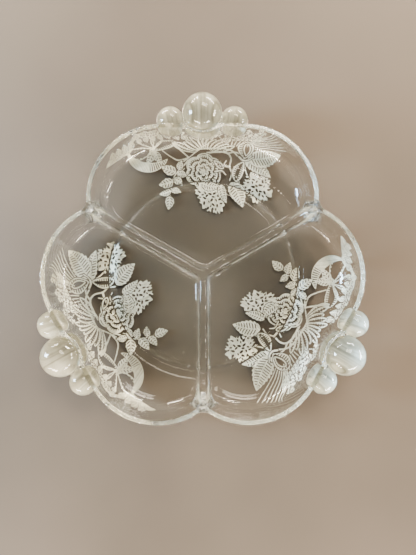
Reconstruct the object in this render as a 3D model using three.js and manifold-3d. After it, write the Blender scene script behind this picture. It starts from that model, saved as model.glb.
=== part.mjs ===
// Three-compartment relish dish of pressed clear glass with silver overlay.
//
// One glass body carries everything: three rounded lobes round the dish axis, each hollowed
// into a compartment, a Y-shaped divider between them, a round foot ring below and a handle of
// three solid glass balls on each lobe. The silver is a thin film on the outside of the glass:
// a lace spray on the floor and on the wall of each lobe, and a coat under each ball. The sprays
// are one design, laid by hand, so each lobe has it in a slightly different place. The foot
// ring's ground face carries no silver, so each spray is one film inside it and one outside.
//
// Millimetres, +Z up, table at z = 0, origin below the middle of the dish's bounding box.

import * as THREE from 'three';
import { mergeVertices } from 'three/addons/utils/BufferGeometryUtils.js';
import Module from 'manifold-3d';

const wasm = await Module();
wasm.setup();

// ---- Driving dimensions -----------------------------------------------------------------

const LOBES = ['back', 'left', 'right'];   // counter-clockwise from +Y
const RIM_Z = 36;              // top of the rim
const FLOOR_Z = 7.3;           // inside floor of the compartments
const UNDER_Z = 2.8;           // underside of the floors, inside and outside the foot ring
const LOBE_OUT = 51;           // dish axis to the middle line of a lobe
const LOBE_HALF = 28;          // half the length of that middle line
const LOBE_RADIUS = 50;        // round the ends of the middle line, to the rim's outer edge
const NOTCH_RADIUS = 9;        // hollow between two lobes
const RIM_WIDTH = 3;           // flat of the rim, outside to inside
const RIM_BEVEL = 0.7;         // bevel on both edges of the rim
const DRAFT = 0.1;             // sideways run of every wall for each unit of height
const OUTER_FILLET = 12;       // outside wall to underside
const INNER_FILLET = 8;        // inside wall to floor
const DIVIDER_Z = 27;          // flat top of the divider
const DIVIDER_HALF = 1.3;      // half its width where its sides would reach the rim's height
const DIVIDER_FILLET = 3;      // divider side to floor
const DIVIDER_FLAT = 72;       // axis to where the divider's top starts to rise to the rim
const DIVIDER_END = 87;        // axis to where it reaches the rim
const CORNER_RADII = [12, 4];  // compartment corner beside a notch: at the floor, at the rim
const CENTRE_RADII = [9, 3];   // compartment corner at the dish axis: at the floor, at the rim
const FOOT_INNER = 66;         // foot ring, inner and outer radius where it leaves the floor
const FOOT_OUTER = 74.5;
const FOOT_TAPER = 3.2;        // each side of the foot ring leans in by this much
const FOOT_BEVEL = 0.5;        // bevel on both edges of its ground face
const COLLAR = 3;              // glass between a large ball and the compartment
const FILM = 0.3;              // thickness of the silver
const GAP = 0.3;               // clearance between the film and the glass, and between films
const BALLS = [                // radius, and centre across the lobe, out from the axis, height
  { name: 'large_ball', radius: 13.5, across: 0, out: 110, z: 31 },
  { name: 'first_small_ball', radius: 9.4, across: 22, out: 106, z: 28 },
  { name: 'second_small_ball', radius: 9.4, across: -22, out: 106, z: 28 },
];
const COAT_TOP = 2;            // the coat on a ball ends this much above the ball's middle
const SPRAY_TOP = 31;          // the wall spray ends this high up the wall
const SPRAY_CENTRE = [10, 62]; // a point of the spray as drawn; the places it was laid on the lobes:
const SPRAY_PLACES = {         // that point across and out, and the spray's turn in degrees
  back: [10, 64, 0],
  left: [15, 54.5, -5.5],
  right: [2, 51.5, -4],
};
const BALL_SIDES = 16;         // facets round a ball, and round the foot ring and its discs
const ROUND_SIDES = 48;

// ---- Materials --------------------------------------------------------------------------

const glass = new THREE.MeshStandardMaterial({
  color: 0xe6ece8, roughness: 0.03, metalness: 0, transparent: true, opacity: 0.35,
});
const silver = new THREE.MeshStandardMaterial({ color: 0xd8d4c8, roughness: 0.28, metalness: 1 });

// ---- Solids and meshes ------------------------------------------------------------------

const UP = new THREE.Vector3(0, 0, 1);
const SIXTH = Math.PI / 6;
const RIGHT_ANGLE = Math.PI / 2;

/** Turns a closed three.js geometry into a solid that can be joined and cut. */
function toSolid(geometry) {
  const bare = geometry.clone();
  for (const name of ['normal', 'uv']) bare.deleteAttribute(name);
  const merged = mergeVertices(bare, 1e-4);
  return new wasm.Manifold(new wasm.Mesh({
    numProp: 3,
    vertProperties: Float32Array.from(merged.attributes.position.array),
    triVerts: Uint32Array.from(merged.index.array),
  }));
}

function toMesh(solid, name, material) {
  const { vertProperties, triVerts } = solid.getMesh();
  const geometry = new THREE.BufferGeometry();
  geometry.setAttribute('position', new THREE.BufferAttribute(Float32Array.from(vertProperties), 3));
  geometry.setIndex(new THREE.BufferAttribute(Uint32Array.from(triVerts), 1));
  geometry.computeVertexNormals();
  const mesh = new THREE.Mesh(geometry, material);
  mesh.name = name;
  return mesh;
}

/** Closed solid through rings of equally many points, lowest ring first, counter-clockwise. */
function loft(rings) {
  const count = rings[0].length;
  const points = rings.flat();
  const index = [];
  for (let k = 0; k < rings.length - 1; k += 1) {
    for (let i = 0; i < count; i += 1) {
      const a = k * count + i;
      const b = k * count + (i + 1) % count;
      index.push(a, b, b + count, a, b + count, a + count);
    }
  }
  const top = (rings.length - 1) * count;
  for (const [a, b, c] of THREE.ShapeUtils.triangulateShape(rings[0], [])) index.push(c, b, a);
  for (const [a, b, c] of THREE.ShapeUtils.triangulateShape(rings.at(-1), [])) {
    index.push(top + a, top + b, top + c);
  }
  const geometry = new THREE.BufferGeometry().setFromPoints(points);
  geometry.setIndex(index);
  return toSolid(geometry);
}

function extrude(shape, depth, z) {
  return toSolid(new THREE.ExtrudeGeometry(shape, { depth, bevelEnabled: false }).translate(0, 0, z));
}

function ballSolid(ball, grow) {
  const sphere = new THREE.SphereGeometry(ball.radius + grow, BALL_SIDES, BALL_SIDES / 2);
  return toSolid(sphere.rotateX(RIGHT_ANGLE).translate(ball.across, ball.out, ball.z));
}

const union = (solids) => solids.reduce((sum, next) => sum.add(next));
const turned = (solid, lobe) => solid.rotate([0, 0, lobe * 360 / LOBES.length]);
const allLobes = (solid) => union(LOBES.map((_, lobe) => turned(solid, lobe)));

// ---- Outlines, drawn for the lobe that points along +Y ----------------------------------

/** Points on an arc, both ends included. */
function arc(x, y, radius, from, to, steps) {
  return Array.from({ length: steps + 1 }, (_, i) => {
    const angle = from + (to - from) * i / steps;
    return new THREE.Vector2(x + radius * Math.cos(angle), y + radius * Math.sin(angle));
  });
}

const mirrored = (points) => points.map((p) => new THREE.Vector2(-p.x, p.y)).reverse();

// The divider beside this lobe runs at 30 degrees: `along` it and `off` it, a lobe's end is at
const LOBE_END = new THREE.Vector2(LOBE_HALF, LOBE_OUT);
const END_ALONG = LOBE_END.x * Math.cos(SIXTH) + LOBE_END.y * Math.sin(SIXTH);
const END_OFF = LOBE_END.y * Math.cos(SIXTH) - LOBE_END.x * Math.sin(SIXTH);
const NOTCH_ALONG = END_ALONG + Math.sqrt((LOBE_RADIUS + NOTCH_RADIUS) ** 2 - END_OFF ** 2);
const NOTCH = new THREE.Vector2(NOTCH_ALONG * Math.cos(SIXTH), NOTCH_ALONG * Math.sin(SIXTH));
const NOTCH_START = NOTCH.clone().sub(LOBE_END).angle() - 2 * Math.PI;

/** The whole trefoil, set in from the rim's outer edge. */
function trefoil(inset) {
  const radius = LOBE_RADIUS - inset;
  const rightEnd = arc(LOBE_END.x, LOBE_END.y, radius, NOTCH_START, RIGHT_ANGLE, 6);
  const notch = arc(-NOTCH.x, NOTCH.y, NOTCH_RADIUS + inset, -NOTCH_START, NOTCH_START - 2 * SIXTH, 4);
  const lobe = [...rightEnd, ...mirrored(rightEnd), ...notch.slice(1, -1)];
  const centre = new THREE.Vector2();
  return LOBES.flatMap((_, k) => lobe.map((p) => p.clone().rotateAround(centre, k * 4 * SIXTH)));
}

/** How far a concave fillet of this radius stands out from its wall, at a height above the floor. */
function filletRun(height, radius) {
  const below = Math.max(0, radius - height);
  return radius - Math.sqrt(radius ** 2 - below ** 2);
}

const atHeight = (points, z) => points.map((p) => new THREE.Vector3(p.x, p.y, z));
const bevelRun = (z) => Math.max(0, z - RIM_Z + RIM_BEVEL);

/** Heights of the rings of a wall: close together in the fillet, then up to the rim. */
function ringHeights(floor, fillet, steps) {
  const curve = Array.from({ length: steps + 1 }, (_, i) => {
    return floor + fillet * (1 - Math.cos(RIGHT_ANGLE * i / steps));
  });
  return [...curve, RIM_Z - RIM_BEVEL, RIM_Z];
}

/** The dish without its hollows, foot and balls, grown outwards by `grow`. */
function outerBody(grow) {
  return loft(ringHeights(UNDER_Z, OUTER_FILLET, 4).map((z) => {
    const inset = (RIM_Z - z) * DRAFT + filletRun(z - UNDER_Z, OUTER_FILLET) + bevelRun(z);
    return atHeight(trefoil(inset - grow), z === UNDER_Z ? z - grow : z);
  }));
}

/** One compartment's outline at a height: round the dish axis, along the divider, round the lobe. */
function compartmentRing(z) {
  const rise = z - FLOOR_Z;
  const share = rise / (RIM_Z - FLOOR_Z);
  const run = (RIM_Z - z) * DRAFT;
  const radius = LOBE_RADIUS - RIM_WIDTH - run - filletRun(rise, INNER_FILLET) + bevelRun(z);
  const half = DIVIDER_HALF + run + filletRun(rise, DIVIDER_FILLET);
  const corner = THREE.MathUtils.lerp(...CORNER_RADII, share);
  const centre = THREE.MathUtils.lerp(...CENTRE_RADII, share);
  const along = END_ALONG + Math.sqrt((radius - corner) ** 2 - (END_OFF - half - corner) ** 2);
  const off = half + corner;
  const x = along * Math.cos(SIXTH) - off * Math.sin(SIXTH);
  const y = along * Math.sin(SIXTH) + off * Math.cos(SIXTH);
  const turn = Math.atan2(y - LOBE_END.y, x - LOBE_END.x);
  const side = [
    ...arc(0, (half + centre) / Math.cos(SIXTH), centre, -RIGHT_ANGLE, -2 * SIXTH, 2),
    ...arc(x, y, corner, -2 * SIXTH, turn, 4),
    ...arc(LOBE_END.x, LOBE_END.y, radius, turn, RIGHT_ANGLE, 5).slice(1),
  ];
  return atHeight([...side, ...mirrored(side.slice(1))], z);
}

function compartment() {
  const heights = [...ringHeights(FLOOR_Z, INNER_FILLET, 4), RIM_Z + 2];
  return loft(heights.map(compartmentRing));
}

/** What is taken off the top of one divider: level, then a curve that rises to the rim. */
function dividerRelief() {
  const above = RIM_Z + 5;
  const beyond = -3;
  const curve = [DIVIDER_FLAT + 8, DIVIDER_Z, DIVIDER_END - 4, RIM_Z, DIVIDER_END, RIM_Z];
  const shape = new THREE.Shape();
  shape.moveTo(beyond, DIVIDER_Z);
  shape.lineTo(DIVIDER_FLAT, DIVIDER_Z);
  shape.bezierCurveTo(...curve);
  shape.lineTo(DIVIDER_END, above);
  shape.lineTo(beyond, above);
  const width = 12;
  const bar = new THREE.ExtrudeGeometry(shape, { depth: width, bevelEnabled: false, curveSegments: 5 });
  bar.translate(0, 0, -width / 2).rotateX(RIGHT_ANGLE).rotateZ(SIXTH);
  return toSolid(bar);
}

function footRing() {
  const top = UNDER_Z + 1;
  const inner = FOOT_INNER + FOOT_TAPER;
  const outer = FOOT_OUTER - FOOT_TAPER;
  const profile = [
    [FOOT_INNER, top], [inner, FOOT_BEVEL], [inner + FOOT_BEVEL, 0],
    [outer - FOOT_BEVEL, 0], [outer, FOOT_BEVEL], [FOOT_OUTER, top], [FOOT_INNER, top],
  ];
  const points = profile.map(([r, z]) => new THREE.Vector2(r, z));
  return toSolid(new THREE.LatheGeometry(points, ROUND_SIDES).rotateX(RIGHT_ANGLE));
}

function glassDish() {
  const outer = outerBody(0);
  const collar = outer.intersect(ballSolid(BALLS[0], COLLAR));
  const balls = BALLS.map((ball) => ballSolid(ball, 0));
  const hollow = outer.subtract(allLobes(compartment())).add(allLobes(collar));
  return hollow.subtract(allLobes(dividerRelief())).add(footRing()).add(allLobes(union(balls)));
}

// ---- Silver -----------------------------------------------------------------------------

/** The coat under one ball: outside the wall, clear of the glass and of the other coats. */
function ballCoat(ball) {
  const reach = 4 * ball.radius;
  const seam = GAP + FILM;       // between two coats that meet, where half of it is each one's
  const others = BALLS.filter((other) => other !== ball);
  const shell = ballSolid(ball, GAP + FILM).subtract(ballSolid(ball, GAP));
  const lower = new THREE.BoxGeometry(reach, reach, reach);
  lower.translate(ball.across, ball.out, ball.z + COAT_TOP - reach / 2);
  const clear = others.map((other) => ballSolid(other, GAP + FILM / 2 + seam / 2));
  return shell.intersect(toSolid(lower)).subtract(outerBody(GAP)).subtract(union(clear));
}

/** A pointed leaf from its stalk, with a slit on each side of the midrib. */
function leaf(x, y, heading, length, width) {
  const at = (t, side) => {
    const p = new THREE.Vector2(t * length, side * width / 2 * Math.sin(Math.PI * t ** 0.8));
    return p.rotateAround(new THREE.Vector2(), heading).add(new THREE.Vector2(x, y));
  };
  const steps = 4;
  const edge = (side) => Array.from({ length: steps }, (_, i) => at((i + 0.5) / steps, side));
  const shape = new THREE.Shape([at(0.02, 1), at(0.02, -1), ...edge(-1), at(1, 0), ...edge(1).reverse()]);
  for (const side of [-1, 1]) {
    shape.holes.push(new THREE.Path([at(0.25, side * 0.25), at(0.5, side * 0.7), at(0.78, side * 0.3)]));
  }
  return shape;
}

/** A scalloped round blossom with a ring of pointed holes between its petals. */
function blossom(x, y, radius, petals) {
  const at = (r, angle) => new THREE.Vector2(x + r * Math.cos(angle), y + r * Math.sin(angle));
  const step = 2 * Math.PI / petals;
  const shape = new THREE.Shape();
  const inner = 0.86 * radius;
  const edge = Array.from({ length: 2 * petals }, (_, i) => at(i % 2 ? inner : radius, i * step / 2));
  shape.setFromPoints(edge);
  for (let i = 0; i < petals; i += 1) {
    const angle = i * step;
    const left = at(0.6 * radius, angle + 0.25 * step);
    const right = at(0.6 * radius, angle - 0.25 * step);
    const hole = [at(0.34 * radius, angle), left, at(0.74 * radius, angle), right];
    shape.holes.push(new THREE.Path(hole));
  }
  return shape;
}

/** A stem: a ribbon of even width along a curve through the given points. */
function stem(width, ...points) {
  const curve = new THREE.SplineCurve(points.map(([x, y]) => new THREE.Vector2(x, y)));
  const steps = 2 * points.length;
  const edge = (side) => Array.from({ length: steps + 1 }, (_, i) => {
    const tangent = curve.getTangent(i / steps);
    const across = new THREE.Vector2(-tangent.y, tangent.x).multiplyScalar(side * width / 2);
    return curve.getPoint(i / steps).add(across);
  });
  return new THREE.Shape([...edge(-1), ...edge(1).reverse()]);
}

/** The lace seen in plan, outside the foot ring and just inside it: blossoms, leaves and stems. */
function sprayShapes() {
  return [
    blossom(5, 54, 11.5, 8),
    blossom(40, 63, 10.5, 8),
    blossom(2, 77, 12, 8),
    blossom(-38, 88, 16, 8),
    blossom(33, 91, 7, 6),
    leaf(21, 68, -1.1, 17, 11),
    leaf(36, 82, 0.15, 24, 15),
    leaf(34, 82, -0.9, 16, 10),
    leaf(-24, 78, -2.2, 15, 9),
    leaf(-52, 84, 2.6, 16, 9),
    stem(1.8, [2, 77], [18, 79], [34, 82], [33, 91]),
    stem(1.8, [18, 79], [20, 72], [21, 66]),
    stem(1.8, [34, 82], [36, 74], [40, 66]),
    stem(1.8, [2, 77], [-12, 80], [-26, 84]),
    stem(1.8, [2, 77], [16, 92], [34, 91]),
    stem(2.4, [-38, 88], [-22, 95], [0, 97], [18, 96], [33, 91]),
    stem(2.4, [2, 77], [3, 68], [5, 54]),
    stem(1.8, [5, 54], [18, 57], [28, 55], [35, 54], [39, 58]),
  ];
}

/** The twig whose two lowest leaves lie inside the foot ring. */
function twigShapes() {
  return [
    stem(1.8, [-12, 80], [-22, 77], [-27, 68], [-26, 60]),
    leaf(-26, 62, -2.1, 13, 8),
    leaf(-26, 61, -1.2, 13, 8),
  ];
}

/** A standing block of each shape, from below the underside up to the top of the spray. */
function prism(shapes) {
  const bottom = UNDER_Z / 2;
  return union(shapes.map((shape) => extrude(shape, SPRAY_TOP - bottom, bottom)));
}

/** Moves a spray from where it is drawn to where it lies on a lobe. */
function laid(solid, lobe) {
  const [across, out, turn] = SPRAY_PLACES[lobe];
  const [x, y] = SPRAY_CENTRE;
  return solid.translate([-x, -y, 0]).rotate([0, 0, turn]).translate([across, out, 0]);
}

function disc(radius) {
  const cylinder = new THREE.CylinderGeometry(radius, radius, 3 * RIM_Z, ROUND_SIDES);
  return toSolid(cylinder.rotateX(RIGHT_ANGLE));
}

/** The film that follows the outside of the dish, before the lace is cut from it. */
function filmShell() {
  const balls = BALLS.map((ball) => ballSolid(ball, 2 * GAP + FILM));
  return outerBody(GAP + FILM).subtract(outerBody(GAP)).subtract(union(balls));
}

// ---- Assembly ---------------------------------------------------------------------------

const dish = new THREE.Group();
dish.add(toMesh(glassDish(), 'glass_dish', glass));

const film = filmShell();
const spray = prism(sprayShapes());
const twig = prism(twigShapes());
const inFoot = disc(FOOT_INNER - GAP);
const outOfFoot = film.subtract(disc(FOOT_OUTER + GAP));
const coats = BALLS.map((ball) => [`${ball.name}_silver`, ballCoat(ball)]);

LOBES.forEach((lobe, k) => {
  const films = [
    ['floor_spray', film.intersect(laid(spray, lobe)).intersect(inFoot)],
    ['floor_twig', film.intersect(laid(twig, lobe)).intersect(inFoot)],
    ['wall_spray', outOfFoot.intersect(laid(spray.add(twig), lobe))],
    ...coats,
  ];
  for (const [name, solid] of films) {
    dish.add(toMesh(turned(solid, k), `${name}_${lobe}`, silver));
  }
});

const box = new THREE.Box3().setFromObject(dish);
dish.position.sub(box.getCenter(new THREE.Vector3()).projectOnPlane(UP));
dish.position.z = -box.min.z;

export default dish;
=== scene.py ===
"""Looks of the three-compartment relish dish: pressed clear glass with a silver overlay.

The glass is one implicit shape, written with the same dimensions as the CAD part and meshed
on a grid that follows the rim, so that every edge and every joint of ball, wall, divider and
foot is rounded as in pressed glass. The silver is thin films that follow the outside of that
glass: a floral spray on each lobe, drawn flat and then laid on the dish, and a coat on each ball.
Shapes are worked out in millimetres round the dish axis and placed in the frame in metres.
"""

import math

import bpy
import numpy as np
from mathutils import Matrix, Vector


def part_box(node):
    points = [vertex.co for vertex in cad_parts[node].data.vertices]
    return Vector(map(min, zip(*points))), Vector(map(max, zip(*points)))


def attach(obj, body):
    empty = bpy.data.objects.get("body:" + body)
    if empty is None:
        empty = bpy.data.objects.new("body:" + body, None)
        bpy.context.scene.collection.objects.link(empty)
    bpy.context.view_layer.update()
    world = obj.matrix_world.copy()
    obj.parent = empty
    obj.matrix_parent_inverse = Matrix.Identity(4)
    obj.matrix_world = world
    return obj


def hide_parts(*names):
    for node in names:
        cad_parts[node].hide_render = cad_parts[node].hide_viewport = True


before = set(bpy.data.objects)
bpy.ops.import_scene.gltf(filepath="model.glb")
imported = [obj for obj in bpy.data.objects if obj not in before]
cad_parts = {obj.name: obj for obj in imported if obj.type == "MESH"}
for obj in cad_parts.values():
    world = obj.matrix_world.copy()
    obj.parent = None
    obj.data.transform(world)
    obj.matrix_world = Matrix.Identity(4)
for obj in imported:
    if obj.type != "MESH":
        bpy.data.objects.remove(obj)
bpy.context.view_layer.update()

# ---- Dimensions of the glass in millimetres: as in the CAD part, but with softer roundings ----

LOBES = ("back", "left", "right")
RIM_Z = 36.0
FLOOR_Z = 7.3
UNDER_Z = 2.8
LOBE_OUT = 51.0
LOBE_HALF = 28.0
LOBE_RADIUS = 50.0
LOBE_BACK = 15.0  # nearer the axis than this behind LOBE_OUT, only the divider bounds a compartment
NOTCH_RADIUS = 9.0
RIM_WIDTH = 3.0
DRAFT = 0.1
RIM_ROUNDING = 0.8
HOLLOW_EDGE = 0.3
OUTER_FILLET = 12.0
INNER_FILLET = 8.0
FILLET_CHANGE = 12.0
DIVIDER_Z = 27.0
DIVIDER_HALF = 1.3
DIVIDER_FILLET = 3.0
DIVIDER_FLAT = 72.0
DIVIDER_END = 87.0
DIVIDER_CLEAR = 6.0
CREST_ROUNDING = 1.3
CORNER_RADII = (12.0, 4.0)
CENTRE_RADII = (9.0, 3.0)
FOOT_INNER = 66.0
FOOT_OUTER = 74.5
FOOT_TAPER = 3.2
FOOT_ROUNDING = 1.0
FOOT_JOIN = 3.0
FOOT_DEPTH = 2.0
COLLAR = 3.0
COLLAR_EDGE = 0.5
COLLAR_JOIN = 2.5
BALL_JOIN = 0.9
BALLS_JOIN = 0.5
LARGE_BALL = {"radius": 13.5, "across": 0.0, "out": 110.0, "z": 31.0}
SMALL_BALL = {"radius": 9.4, "across": 22.0, "out": 106.0, "z": 28.0}

SIXTH = math.pi / 6
FULL_TURN = 2 * math.pi
# What a rounding's radius is multiplied by where the two faces meet at 120 degrees, not 90.
OBTUSE = 1 + math.cos(4 * SIXTH)
# The centres of a lobe's end arc and of the notch's arc, along and off the divider's line.
END_ALONG = LOBE_HALF * math.cos(SIXTH) + LOBE_OUT * math.sin(SIXTH)
END_OFF = LOBE_OUT * math.cos(SIXTH) - LOBE_HALF * math.sin(SIXTH)
NOTCH_ALONG = END_ALONG + math.sqrt((LOBE_RADIUS + NOTCH_RADIUS) ** 2 - END_OFF**2)

# The large ball of the back handle is the glass's furthest point in +Y, so it fixes the axis.
AXIS_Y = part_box("glass_dish")[1].y * 1000 - LARGE_BALL["out"] - LARGE_BALL["radius"]


# ---- The glass as a field: negative inside, in millimetres -------------------------------

def round_join(a, b, radius):
    """Union of two fields with a fillet."""
    near = np.hypot(np.maximum(radius - a, 0), np.maximum(radius - b, 0))
    return np.maximum(radius, np.minimum(a, b)) - near


def round_meet(a, b, radius):
    """Intersection of two fields with a rounded edge."""
    near = np.hypot(np.maximum(a + radius, 0), np.maximum(b + radius, 0))
    return np.minimum(-radius, np.maximum(a, b)) + near


def smooth(t):
    """A soft step from 0 to 1."""
    t = np.clip(t, 0, 1)
    return t * t * (3 - 2 * t)


def ball_field(ball, across, out, z):
    square = (across - ball["across"]) ** 2 + (out - ball["out"]) ** 2 + (z - ball["z"]) ** 2
    return np.sqrt(square) - ball["radius"]


def fold(x, y):
    """Position along and off the nearest divider, and across and out along the nearest lobe."""
    turn = np.abs((np.arctan2(y, x) + SIXTH) % (4 * SIXTH) - 2 * SIXTH)
    reach = np.hypot(x, y)
    along, off = reach * np.cos(turn), reach * np.sin(turn)
    across = along * math.cos(SIXTH) - off * math.sin(SIXTH)
    out = along * math.sin(SIXTH) + off * math.cos(SIXTH)
    return along, off, across, out


def outline_field(x, y):
    """The rim's outer edge in plan."""
    along, off, across, out = fold(x, y)
    lobe = np.hypot(np.maximum(across - LOBE_HALF, 0), out - LOBE_OUT) - LOBE_RADIUS
    beside = END_OFF * (NOTCH_ALONG - along) - (NOTCH_ALONG - END_ALONG) * off
    notch = NOTCH_RADIUS - np.hypot(along - NOTCH_ALONG, off)
    return np.where(beside > 0, notch, lobe)


def hollow_field(along, off, across, out, z):
    """The compartment: walls and divider sides that lean by the draft, and a filleted floor."""
    run = (RIM_Z - z) * DRAFT
    share = np.clip((z - FLOOR_Z) / (RIM_Z - FLOOR_Z), 0, 1)
    corner = CORNER_RADII[0] + (CORNER_RADII[1] - CORNER_RADII[0]) * share
    centre = (CENTRE_RADII[0] + (CENTRE_RADII[1] - CENTRE_RADII[0]) * share) * OBTUSE
    beyond = np.maximum(out - LOBE_OUT, -LOBE_BACK)
    wall = np.hypot(np.maximum(across - LOBE_HALF, 0), beyond) - (LOBE_RADIUS - RIM_WIDTH) + run
    other = along * math.cos(SIXTH) + off * math.sin(SIXTH)
    divider = round_meet(DIVIDER_HALF + run - off, DIVIDER_HALF + run - other, centre)
    plan = round_meet(wall, divider, corner)
    nearer_wall = smooth((wall - divider) / FILLET_CHANGE + 0.5)
    fillet = DIVIDER_FILLET + (INNER_FILLET - DIVIDER_FILLET) * nearer_wall
    return round_meet(plan, FLOOR_Z - z, fillet)


def foot_field(x, y, z):
    """The ring that the dish stands on."""
    middle, half = (FOOT_INNER + FOOT_OUTER) / 2, (FOOT_OUTER - FOOT_INNER) / 2
    side = np.abs(np.hypot(x, y) - middle) - half + FOOT_TAPER * (1 - z / UNDER_Z)
    steep = 0.75  # makes the leaning side's field grow by about 1 per millimetre
    return np.maximum(round_meet(side * steep, -z, FOOT_ROUNDING), z - UNDER_Z - FOOT_DEPTH)


def body_field(x, y, z):
    """The dish without its balls."""
    along, off, across, out = fold(x, y)
    run = (RIM_Z - z) * DRAFT
    outer = round_meet(outline_field(x, y) + run, UNDER_Z - z, OUTER_FILLET)
    hollow = hollow_field(along, off, across, out, z)
    collar = round_meet(ball_field(LARGE_BALL, across, out, z) - COLLAR, outer, COLLAR_EDGE)
    glass = round_join(round_meet(outer, -hollow, HOLLOW_EDGE), collar, COLLAR_JOIN)
    glass = round_meet(glass, z - RIM_Z, RIM_ROUNDING)
    climb = smooth((along - DIVIDER_FLAT) / (DIVIDER_END - DIVIDER_FLAT))
    crest = DIVIDER_Z + (RIM_Z - DIVIDER_Z) * climb
    glass = round_meet(glass, np.minimum(z - crest, DIVIDER_CLEAR - off), CREST_ROUNDING)
    return round_join(glass, foot_field(x, y, z), FOOT_JOIN)


def glass_field(x, y, z):
    """The whole dish."""
    _, _, across, out = fold(x, y)
    large = ball_field(LARGE_BALL, across, out, z)
    small = ball_field(SMALL_BALL, across, out, z)
    return round_join(body_field(x, y, z), round_join(large, small, BALLS_JOIN), BALL_JOIN)


def gradient(field, points, step=0.02):
    """The field's slope at each point, from its values a little to either side."""
    slopes = []
    for axis in range(3):
        shift = np.zeros(3)
        shift[axis] = step
        slopes.append(field(*(points + shift).T) - field(*(points - shift).T))
    return np.stack(slopes, 1) / (2 * step)


def settle(field, points, rounds=4):
    """Moves points onto the field's surface, and gives the outward normals there."""
    least_steep, furthest = 0.05, 0.6
    for _ in range(rounds):
        slope = gradient(field, points)
        steep = np.maximum((slope**2).sum(1), least_steep)
        points = points - slope * np.clip(field(*points.T) / steep, -furthest, furthest)[:, None]
    slope = gradient(field, points)
    return points, slope / np.linalg.norm(slope, axis=1)[:, None]


# ---- Meshing ----------------------------------------------------------------------------

TURN_TABLE = np.linspace(0, FULL_TURN, 7201)


def rim_reach():
    """How far the outline lies from the axis, for each angle of the table."""
    low, high = np.full(len(TURN_TABLE), 40.0), np.full(len(TURN_TABLE), 120.0)
    for _ in range(30):
        middle = (low + high) / 2
        inside = outline_field(middle * np.cos(TURN_TABLE), middle * np.sin(TURN_TABLE)) < 0
        low, high = np.where(inside, middle, low), np.where(inside, high, middle)
    return middle


RIM_REACH = rim_reach()


def place_round(share, angle, z):
    """From share of the way to the rim, angle and height, to a position round the axis."""
    reach = share * np.interp(angle % FULL_TURN, TURN_TABLE, RIM_REACH)
    return reach * np.cos(angle), reach * np.sin(angle), z


def grid_axis(*stretches):
    """Each stretch is where it starts and how many cells it has; the last has none."""
    pairs = zip(stretches, stretches[1:])
    parts = [np.linspace(a, b, cells, endpoint=False) for (a, cells), (b, _) in pairs]
    return np.concatenate(parts + [[stretches[-1][0]]])


def round_axes(fine):
    """The net's three axes, with small cells at the rim, the dividers' crest and their sides."""
    def cells(number):
        return int(number * fine)

    share = grid_axis((0, cells(118)), (0.94, cells(18)), (1.005, cells(30)), (1.27, 0))
    z = grid_axis((-0.8, cells(32)), (24.8, cells(8)), (27.6, cells(8)), (33.6, cells(9)),
                  (36.6, cells(11)), (45.4, 0))
    sector = np.linspace(-1, 1, cells(360) + 1)[:-1]
    spread = 2 * SIXTH * (0.6 * sector + 0.4 * sector**3)
    angle = np.concatenate([spread + SIXTH + 4 * SIXTH * k for k in range(3)])
    return share, np.append(angle, angle[0] + FULL_TURN), z


def surface_net(field, axes, place):
    """Quads round the field's zero surface: one vertex in each grid cell that it crosses.

    The second axis goes all the way round, and the cells at the first axis's start meet in one point.
    """
    yy, zz = np.meshgrid(axes[1], axes[2], indexing="ij")
    value = np.stack([field(*place(x, yy, zz)).astype(np.float32) for x in axes[0]])
    shape = tuple(n - 1 for n in value.shape)
    total, hits = np.zeros(shape + (3,), np.float32), np.zeros(shape, np.int16)
    at = lambda o: value[o[0]:o[0] + shape[0], o[1]:o[1] + shape[1], o[2]:o[2] + shape[2]]
    for start in [(a, b, c) for a in (0, 1) for b in (0, 1) for c in (0, 1)]:
        for axis in range(3):
            if start[axis]:
                continue
            end = tuple(1 if k == axis else start[k] for k in range(3))
            a, b = at(start), at(end)
            cross = (a < 0) != (b < 0)
            share = np.where(cross, a / np.where(cross, a - b, 1), 0)
            for k in range(3):
                total[..., k] += np.where(cross, start[k] + (share if k == axis else 0), 0)
            hits += cross
    used = hits > 0
    number = np.full(shape, -1, np.int64)
    number[used] = np.arange(used.sum())
    number[0] = np.where(used[0], number[0].max(0), -1)
    cells = np.argwhere(used)
    spots = (cells + total[used] / hits[used][:, None]).T
    spots[0] = np.where(cells[:, 0] == 0, 0, spots[0])
    spots = [np.interp(spot, np.arange(len(axis)), axis) for spot, axis in zip(spots, axes)]
    quads = []
    for axis in range(3):
        one, two = (axis + 1) % 3, (axis + 2) % 3
        size = [n - 1 if k in (axis, 1) else n for k, n in enumerate(value.shape)]
        a = value[tuple(slice(0, n) for n in size)]
        b = value[tuple(slice(1, n + 1) if k == axis else slice(0, n) for k, n in enumerate(size))]
        edges = np.argwhere((a < 0) != (b < 0))
        edges = edges[(edges[:, 0] > 0) | (axis == 0)]
        leaving = a[tuple(edges.T)] < 0
        ring = []
        for p, q in ((-1, -1), (0, -1), (0, 0), (-1, 0)):
            step = np.zeros(3, int)
            step[one], step[two] = p, q
            ring.append(number[tuple((edges + step).T)])
        ring = np.stack(ring, 1)
        quads.append(np.where(leaving[:, None], ring, ring[:, ::-1]))
    return np.stack(place(*spots), 1), np.concatenate(quads)


def split(quads, normals):
    """Two triangles for each quad, cut along the pair of corners that face the most alike."""
    alike = [(normals[quads[:, k]] * normals[quads[:, k + 2]]).sum(1) for k in (0, 1)]
    ring = np.where((alike[0] >= alike[1])[:, None], quads, np.roll(quads, -1, axis=1))
    thirds = np.concatenate([ring[:, :3], ring[:, [0, 2, 3]]])
    return thirds[(thirds != np.roll(thirds, 1, axis=1)).all(1)]


# ---- The lace, drawn flat: millimetres across and out along one lobe ----------------------

LACE_CELL = 0.3
LACE_LOW, LACE_HIGH = (-84.0, 36.0), (72.0, 133.0)
LINE = 0.9
BARE_LINE = 0.45
BARE = 5.0
SEED_ANGLE = 2.39996  # the turn from one floret to the next, as in a sunflower's head


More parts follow.
